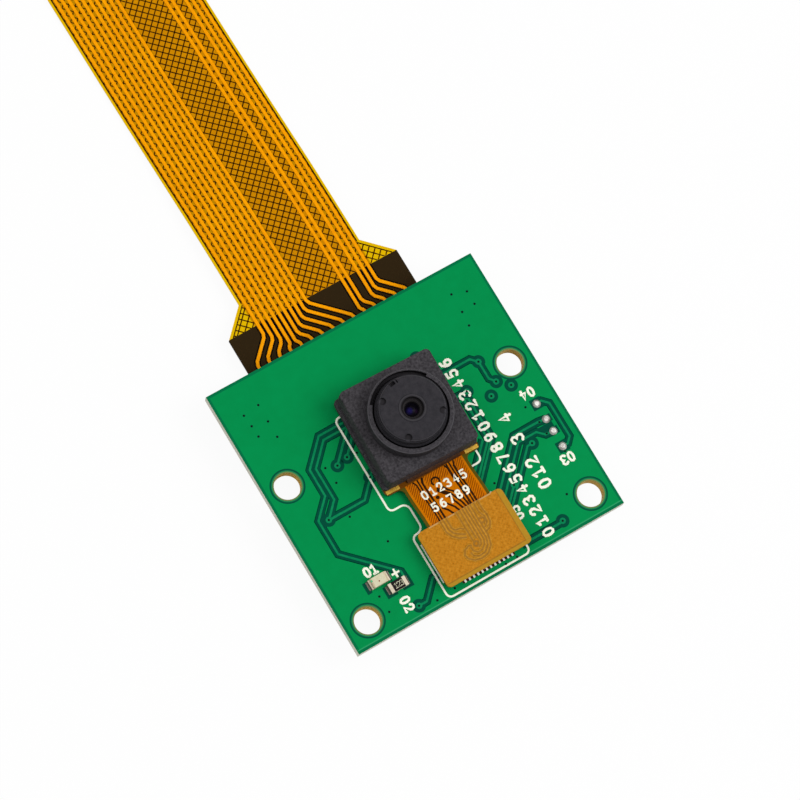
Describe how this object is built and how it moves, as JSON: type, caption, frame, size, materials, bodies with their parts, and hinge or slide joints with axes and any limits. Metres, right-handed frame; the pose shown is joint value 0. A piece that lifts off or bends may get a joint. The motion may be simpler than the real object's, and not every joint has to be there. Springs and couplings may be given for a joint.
{
  "type": "camera module",
  "caption": "Small square circuit board with a fixed-focus camera in a black housing and a flat ribbon that plugs into a sliding-latch connector under the board.",
  "frame": {"origin": "under the board's centre, at the surface that the ribbon connector stands on", "axes": "+Z along the lens axis away from the board, +Y towards the edge that the ribbon leaves, +X along that edge"},
  "size_m": [0.025, 0.1699, 0.009],
  "materials": {
    "mask": "satin",
    "print": "matt",
    "adhesive": "matt",
    "steel": "satin",
    "flex": "gloss",
    "gold": "polished",
    "silicon": "polished",
    "filter": "polished",
    "housing": "satin",
    "sealant": "satin",
    "lens": "polished",
    "black_film": "matt",
    "patch": "satin",
    "dark_plastic": "satin",
    "tin": "satin",
    "ceramic": "matt",
    "glaze": "gloss",
    "led_lens": "gloss",
    "connector": "satin",
    "latch": "satin",
    "ribbon": "gloss",
    "copper": "satin",
    "ribbon_end": "satin",
    "capacitor": "satin",
    "chip": "matt",
    "lid": "satin"
  },
  "bodies": {
    "board": {"circuit_board": "mask", "silkscreen_outline": "print", "module_tape": "adhesive", "base_stiffener": "steel", "module_flex": "flex", "ground_pads": "gold", "image_sensor": "silicon", "ir_filter": "filter", "lens_housing": "housing", "foot_sealant": "sealant", "lens_barrel": "housing", "front_lens": "lens", "middle_lens": "lens", "rear_lens": "lens", "lens_spacers": "black_film", "lens_retainer": "housing", "flex_stiffener": "patch", "flex_plug": "dark_plastic", "flex_plug_contacts": "gold", "board_socket": "dark_plastic", "board_socket_contacts": "gold", "board_socket_clips": "tin", "led_base": "ceramic", "led_lens": "led_lens", "led_ends": "tin", "resistor_body": "ceramic", "resistor_glaze": "glaze", "resistor_ends": "tin", "chip_solder": "tin", "bare_pad_solder": "tin", "ribbon_connector_body": "connector", "ribbon_connector_contacts": "tin", "ribbon_connector_clips": "tin", "ribbon_film": "ribbon", "ribbon_tracks": "copper", "ribbon_shield": "copper", "ribbon_near_stiffener": "ribbon_end", "ribbon_far_stiffener": "ribbon_end", "ribbon_near_contacts": "tin", "ribbon_far_contacts": "tin", "clock_base": "ceramic", "clock_lid": "lid", "regulators": "chip", "regulator_leads": "tin", "capacitors": "capacitor", "capacitor_ends": "tin", "small_resistors": "chip", "small_resistor_ends": "tin"},
    "latch": {"ribbon_connector_latch": "latch"}
  },
  "joints": [
    {"name": "latch_slide", "type": "slide", "parent": "board", "child": "latch", "axis": [0, 1, 0], "range_m": [0, 0.001]}
  ]
}
